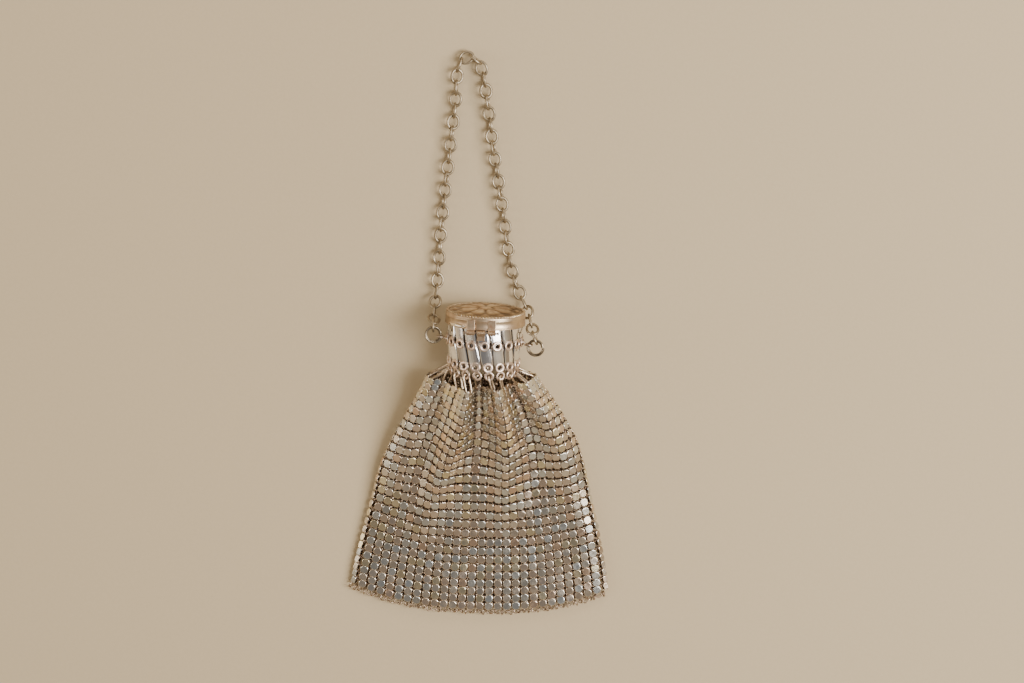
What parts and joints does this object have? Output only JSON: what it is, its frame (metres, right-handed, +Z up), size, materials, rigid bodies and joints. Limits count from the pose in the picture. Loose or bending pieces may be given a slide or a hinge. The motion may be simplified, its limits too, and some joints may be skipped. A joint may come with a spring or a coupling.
{
  "type": "metal mesh purse",
  "caption": "Small flat-tile metal mesh purse with a riveted expanding gate top, a hinged round lid and a link chain handle, lying on its back.",
  "frame": {"origin": "on the flat back of the bag, halfway down it, where the purse rests on a surface", "axes": "+X to the purse's right as seen from the front, +Y from the hem towards the lid and chain, +Z up out of the front"},
  "size_m": [0.0915, 0.1982, 0.0282],
  "materials": {
    "mesh_silver": "polished flat tiles, lightly tarnished between",
    "gate_silver": "polished, worn",
    "gate_inner_silver": "dulled",
    "lid_silver": "raised relief, warm tarnish in the hollows",
    "chain_silver": "dull, yellowish tarnish",
    "dark_silver": "dark tarnish"
  },
  "bodies": {
    "purse": {"lid_hinge_pin": "gate_silver", "gate_outer_strip_01": "gate_silver", "gate_inner_strip_01": "gate_inner_silver", "gate_outer_strip_02": "gate_silver", "gate_inner_strip_02": "gate_inner_silver", "gate_outer_strip_03": "gate_silver", "gate_inner_strip_03": "gate_inner_silver", "gate_outer_strip_04": "gate_silver", "gate_inner_strip_04": "gate_inner_silver", "gate_outer_strip_05": "gate_silver", "gate_inner_strip_05": "gate_inner_silver", "gate_outer_strip_06": "gate_silver", "gate_inner_strip_06": "gate_inner_silver", "gate_outer_strip_07": "gate_silver", "gate_inner_strip_07": "gate_inner_silver", "gate_outer_strip_08": "gate_silver", "gate_inner_strip_08": "gate_inner_silver", "gate_outer_strip_09": "gate_silver", "gate_inner_strip_09": "gate_inner_silver", "gate_outer_strip_10": "gate_silver", "gate_inner_strip_10": "gate_inner_silver", "gate_outer_strip_11": "gate_silver", "gate_inner_strip_11": "gate_inner_silver", "gate_outer_strip_12": "gate_silver", "gate_inner_strip_12": "gate_inner_silver", "gate_outer_strip_13": "gate_silver", "gate_inner_strip_13": "gate_inner_silver", "gate_outer_strip_14": "gate_silver", "gate_inner_strip_14": "gate_inner_silver", "gate_outer_strip_15": "gate_silver", "gate_inner_strip_15": "gate_inner_silver", "gate_outer_strip_16": "gate_silver", "gate_inner_strip_16": "gate_inner_silver", "gate_outer_strip_17": "gate_silver", "gate_inner_strip_17": "gate_inner_silver", "gate_outer_strip_18": "gate_silver", "gate_inner_strip_18": "gate_inner_silver", "chain_eye_left": "dark_silver", "chain_ring_left": "dark_silver", "chain_eye_right": "dark_silver", "chain_ring_right": "dark_silver", "chain": "chain_silver", "mesh_bag": "mesh_silver"},
    "lid": {"lid": "lid_silver"}
  },
  "joints": [
    {"name": "lid_hinge", "type": "hinge", "parent": "purse", "child": "lid", "pos_m": [-0.00096, 0.06293, 0.02742], "axis": [0.9991, -0.0419, 0], "range_deg": [0, 110]}
  ]
}
